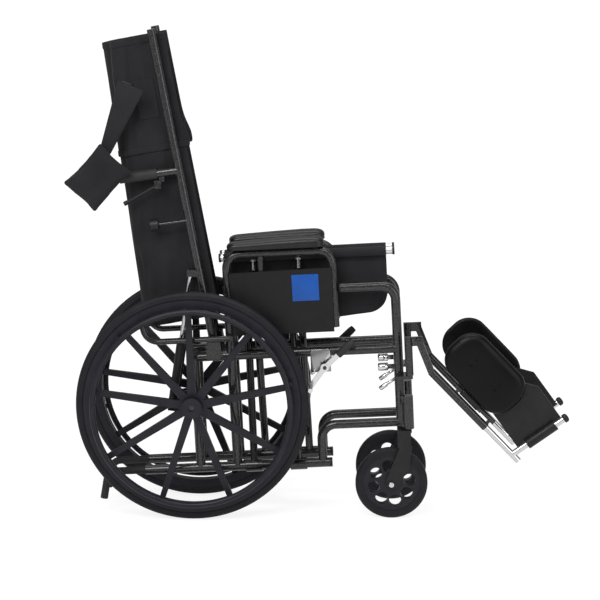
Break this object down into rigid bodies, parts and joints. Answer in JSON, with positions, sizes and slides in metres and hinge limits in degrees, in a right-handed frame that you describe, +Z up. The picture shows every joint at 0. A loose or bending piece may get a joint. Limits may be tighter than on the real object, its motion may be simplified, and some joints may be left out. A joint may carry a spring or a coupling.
{
  "type": "reclining wheelchair",
  "caption": "Folding reclining wheelchair, shown folded, with moulded wheels, swivel casters, lift-off arms, elevating legrests, strut-held back and cloth slings.",
  "frame": {"origin": "on the floor under the middle of the folded chair", "axes": "+X forward, +Y to the left of a seated person, +Z up"},
  "size_m": [1.2987, 0.326, 1.2825],
  "materials": {
    "frame_paint": "hammered dark paint",
    "black_plastic": "satin",
    "wheel_plastic": "satin",
    "tyre": "matte",
    "chrome": "bright",
    "grip": "matte",
    "vinyl": "soft sheen",
    "panel": "matte",
    "cloth": "matte nylon"
  },
  "bodies": {
    "frame_right": {"side_frame_right": "frame_paint", "frame_caps_right": "black_plastic"},
    "brace_right": {"cross_brace_right": "frame_paint", "rail_caps_right": "black_plastic", "brace_bolts": "chrome", "seat_sling": "cloth"},
    "brace_left": {"cross_brace_left": "frame_paint", "rail_caps_left": "black_plastic"},
    "frame_left": {"side_frame_left": "frame_paint", "frame_caps_left": "black_plastic"},
    "wheel_right": {"rear_wheel_right": "wheel_plastic", "rear_tyre_right": "tyre", "handrim_right": "black_plastic"},
    "fork_right": {"caster_fork_right": "frame_paint"},
    "caster_right": {"caster_wheel_right": "black_plastic", "caster_tyre_right": "tyre"},
    "brake_right": {"brake_lever_right": "chrome", "brake_grip_right": "grip"},
    "arm_right": {"armrest_frame_right": "frame_paint", "armrest_pad_right": "vinyl", "side_panel_right": "panel"},
    "hanger_right": {"legrest_hanger_right": "frame_paint"},
    "leg_right": {"leg_tube_right": "frame_paint"},
    "toe_right": {"leg_extension_right": "chrome"},
    "foot_right": {"footplate_right": "black_plastic"},
    "calf_right": {"calf_pad_right": "vinyl"},
    "cane_right": {"back_cane_right": "frame_paint", "back_knob_right": "black_plastic", "push_grip_right": "grip", "head_strap": "cloth"},
    "lever_right": {"release_lever_right": "black_plastic"},
    "cylinder_right": {"strut_cylinder_right": "black_plastic"},
    "rod_right": {"strut_rod_right": "chrome"},
    "tip_right": {"antitip_right": "grip"},
    "cloth_right": {"back_sling_right": "cloth"},
    "wheel_left": {"rear_wheel_left": "wheel_plastic", "rear_tyre_left": "tyre", "handrim_left": "black_plastic"},
    "fork_left": {"caster_fork_left": "frame_paint"},
    "caster_left": {"caster_wheel_left": "black_plastic", "caster_tyre_left": "tyre"},
    "brake_left": {"brake_lever_left": "chrome", "brake_grip_left": "grip"},
    "arm_left": {"armrest_frame_left": "frame_paint", "armrest_pad_left": "vinyl", "side_panel_left": "panel"},
    "hanger_left": {"legrest_hanger_left": "frame_paint"},
    "leg_left": {"leg_tube_left": "frame_paint"},
    "toe_left": {"leg_extension_left": "chrome"},
    "foot_left": {"footplate_left": "black_plastic"},
    "calf_left": {"calf_pad_left": "vinyl"},
    "cane_left": {"back_cane_left": "frame_paint", "back_knob_left": "black_plastic", "push_grip_left": "grip"},
    "lever_left": {"release_lever_left": "black_plastic"},
    "cylinder_left": {"strut_cylinder_left": "black_plastic"},
    "rod_left": {"strut_rod_left": "chrome"},
    "tip_left": {"antitip_left": "grip"},
    "cloth_left": {"back_sling_left": "cloth"}
  },
  "joints": [
    {"name": "fold", "type": "hinge", "parent": "frame_right", "child": "brace_right", "pos_m": [-0.32287, -0.054, 0.12125], "axis": [-0.9986, 0, -0.0523], "range_deg": [0, 45.7]},
    {"name": "fold_scissor", "type": "hinge", "parent": "brace_right", "child": "brace_left", "pos_m": [-0.33762, 0, 0.40274], "axis": [-0.9986, 0, -0.0523], "range_deg": [-91.41, 0], "deforming": ["seat_sling"]},
    {"name": "fold_left", "type": "hinge", "parent": "brace_left", "child": "frame_left", "pos_m": [-0.32287, 0.054, 0.12125], "axis": [-0.9986, 0, -0.0523], "range_deg": [0, 45.71]},
    {"name": "wheel_spin_right", "type": "hinge", "parent": "frame_right", "child": "wheel_right", "pos_m": [-0.3325, -0.116, 0.305], "axis": [0, 1, 0], "continuous": true},
    {"name": "caster_swivel_right", "type": "hinge", "parent": "frame_right", "child": "fork_right", "pos_m": [0.23355, -0.088, 0.24254], "axis": [-0.0523, 0, 0.9986], "continuous": true},
    {"name": "caster_spin_right", "type": "hinge", "parent": "fork_right", "child": "caster_right", "pos_m": [0.18954, -0.088, 0.095], "axis": [0, 1, 0], "continuous": true},
    {"name": "brake_right", "type": "hinge", "parent": "frame_right", "child": "brake_right", "pos_m": [0.01289, -0.054, 0.40221], "axis": [0, -1, 0], "range_deg": [0, 35]},
    {"name": "arm_lift_right", "type": "slide", "parent": "frame_right", "child": "arm_right", "axis": [-0.0523, 0, 0.9986], "range_m": [0, 0.22]},
    {"name": "leg_swing_right", "type": "hinge", "parent": "frame_right", "child": "hanger_right", "pos_m": [0.23772, -0.09, 0.33488], "axis": [0.0523, 0, -0.9986], "range_deg": [0, 90]},
    {"name": "leg_raise_right", "type": "hinge", "parent": "hanger_right", "child": "leg_right", "pos_m": [0.2583, -0.09, 0.47716], "axis": [0, -1, 0], "range_deg": [-24, 46]},
    {"name": "leg_length_right", "type": "slide", "parent": "leg_right", "child": "toe_right", "axis": [0.6947, 0, -0.7193], "range_m": [-0.03, 0.08]},
    {"name": "footplate_flip_right", "type": "hinge", "parent": "toe_right", "child": "foot_right", "pos_m": [0.50522, -0.09, 0.17401], "axis": [-0.809, 0, -0.5878], "range_deg": [0, 90]},
    {"name": "calf_height_right", "type": "slide", "parent": "leg_right", "child": "calf_right", "axis": [0.6947, 0, -0.7193], "range_m": [0, 0.03]},
    {"name": "recline_right", "type": "hinge", "parent": "frame_right", "child": "cane_right", "pos_m": [-0.27838, -0.054, 0.45704], "axis": [0, -1, 0], "range_deg": [0, 70]},
    {"name": "release_right", "type": "hinge", "parent": "cane_right", "child": "lever_right", "pos_m": [-0.42073, -0.054, 0.87911], "axis": [0, 1, 0], "range_deg": [0, 12], "stiffness_Nm_per_rad": 0.6},
    {"name": "strut_foot_right", "type": "hinge", "parent": "frame_right", "child": "cylinder_right", "pos_m": [-0.3908, -0.054, 0.29163], "axis": [0, -1, 0], "range_deg": [0, 35.01]},
    {"name": "strut_head_right", "type": "hinge", "parent": "cane_right", "child": "rod_right", "pos_m": [-0.33819, -0.054, 0.64789], "axis": [0, -1, 0], "range_deg": [-35.01, 0]},
    {"name": "antitip_pull_right", "type": "slide", "parent": "frame_right", "child": "tip_right", "axis": [-0.9986, 0, -0.0523], "range_m": [0, 0.05]},
    {"name": "cloth_open_right", "type": "slide", "parent": "cane_right", "child": "cloth_right", "axis": [0.4664, 0.8802, 0.0881], "range_m": [0, 0.2108], "deforming": ["back_sling_right"]},
    {"name": "wheel_spin_left", "type": "hinge", "parent": "frame_left", "child": "wheel_left", "pos_m": [-0.3325, 0.116, 0.305], "axis": [0, 1, 0], "continuous": true},
    {"name": "caster_swivel_left", "type": "hinge", "parent": "frame_left", "child": "fork_left", "pos_m": [0.23355, 0.088, 0.24254], "axis": [0.0523, 0, -0.9986], "continuous": true},
    {"name": "caster_spin_left", "type": "hinge", "parent": "fork_left", "child": "caster_left", "pos_m": [0.18954, 0.088, 0.095], "axis": [0, 1, 0], "continuous": true},
    {"name": "brake_left", "type": "hinge", "parent": "frame_left", "child": "brake_left", "pos_m": [0.01289, 0.054, 0.40221], "axis": [0, -1, 0], "range_deg": [0, 35]},
    {"name": "arm_lift_left", "type": "slide", "parent": "frame_left", "child": "arm_left", "axis": [-0.0523, 0, 0.9986], "range_m": [0, 0.22]},
    {"name": "leg_swing_left", "type": "hinge", "parent": "frame_left", "child": "hanger_left", "pos_m": [0.23772, 0.09, 0.33488], "axis": [-0.0523, 0, 0.9986], "range_deg": [0, 90]},
    {"name": "leg_raise_left", "type": "hinge", "parent": "hanger_left", "child": "leg_left", "pos_m": [0.2583, 0.09, 0.47716], "axis": [0, -1, 0], "range_deg": [-24, 46]},
    {"name": "leg_length_left", "type": "slide", "parent": "leg_left", "child": "toe_left", "axis": [0.6947, 0, -0.7193], "range_m": [-0.03, 0.08]},
    {"name": "footplate_flip_left", "type": "hinge", "parent": "toe_left", "child": "foot_left", "pos_m": [0.50522, 0.09, 0.17401], "axis": [0.809, 0, 0.5878], "range_deg": [0, 90]},
    {"name": "calf_height_left", "type": "slide", "parent": "leg_left", "child": "calf_left", "axis": [0.6947, 0, -0.7193], "range_m": [0, 0.03]},
    {"name": "recline_left", "type": "hinge", "parent": "frame_left", "child": "cane_left", "pos_m": [-0.27838, 0.054, 0.45704], "axis": [0, -1, 0], "range_deg": [0, 70.01]},
    {"name": "release_left", "type": "hinge", "parent": "cane_left", "child": "lever_left", "pos_m": [-0.42073, 0.054, 0.87911], "axis": [0, 1, 0], "range_deg": [0, 12], "stiffness_Nm_per_rad": 0.6},
    {"name": "strut_foot_left", "type": "hinge", "parent": "frame_left", "child": "cylinder_left", "pos_m": [-0.3908, 0.054, 0.29163], "axis": [0, -1, 0], "range_deg": [0, 35.01]},
    {"name": "strut_head_left", "type": "hinge", "parent": "cane_left", "child": "rod_left", "pos_m": [-0.33819, 0.054, 0.64789], "axis": [0, -1, 0], "range_deg": [-35.01, 0]},
    {"name": "antitip_pull_left", "type": "slide", "parent": "frame_left", "child": "tip_left", "axis": [-0.9986, 0, -0.0523], "range_m": [0, 0.05]},
    {"name": "cloth_open_left", "type": "slide", "parent": "cane_left", "child": "cloth_left", "axis": [0.4664, -0.8802, 0.0881], "range_m": [0, 0.2108], "deforming": ["back_sling_left"]}
  ],
  "couplings": [
    {"joint": "fold_scissor", "follows": "fold", "ratio": -2},
    {"joint": "fold_left", "follows": "fold", "ratio": 1},
    {"joint": "cloth_open_right", "follows": "fold", "m_per_rad": 0.26416},
    {"joint": "strut_foot_right", "follows": "recline_right", "ratio": 0.5},
    {"joint": "strut_head_right", "follows": "recline_right", "ratio": -0.5},
    {"joint": "cloth_open_left", "follows": "fold", "m_per_rad": 0.26416},
    {"joint": "strut_foot_left", "follows": "recline_right", "ratio": 0.5},
    {"joint": "strut_head_left", "follows": "recline_right", "ratio": -0.5},
    {"joint": "recline_left", "follows": "recline_right", "ratio": 1}
  ]
}
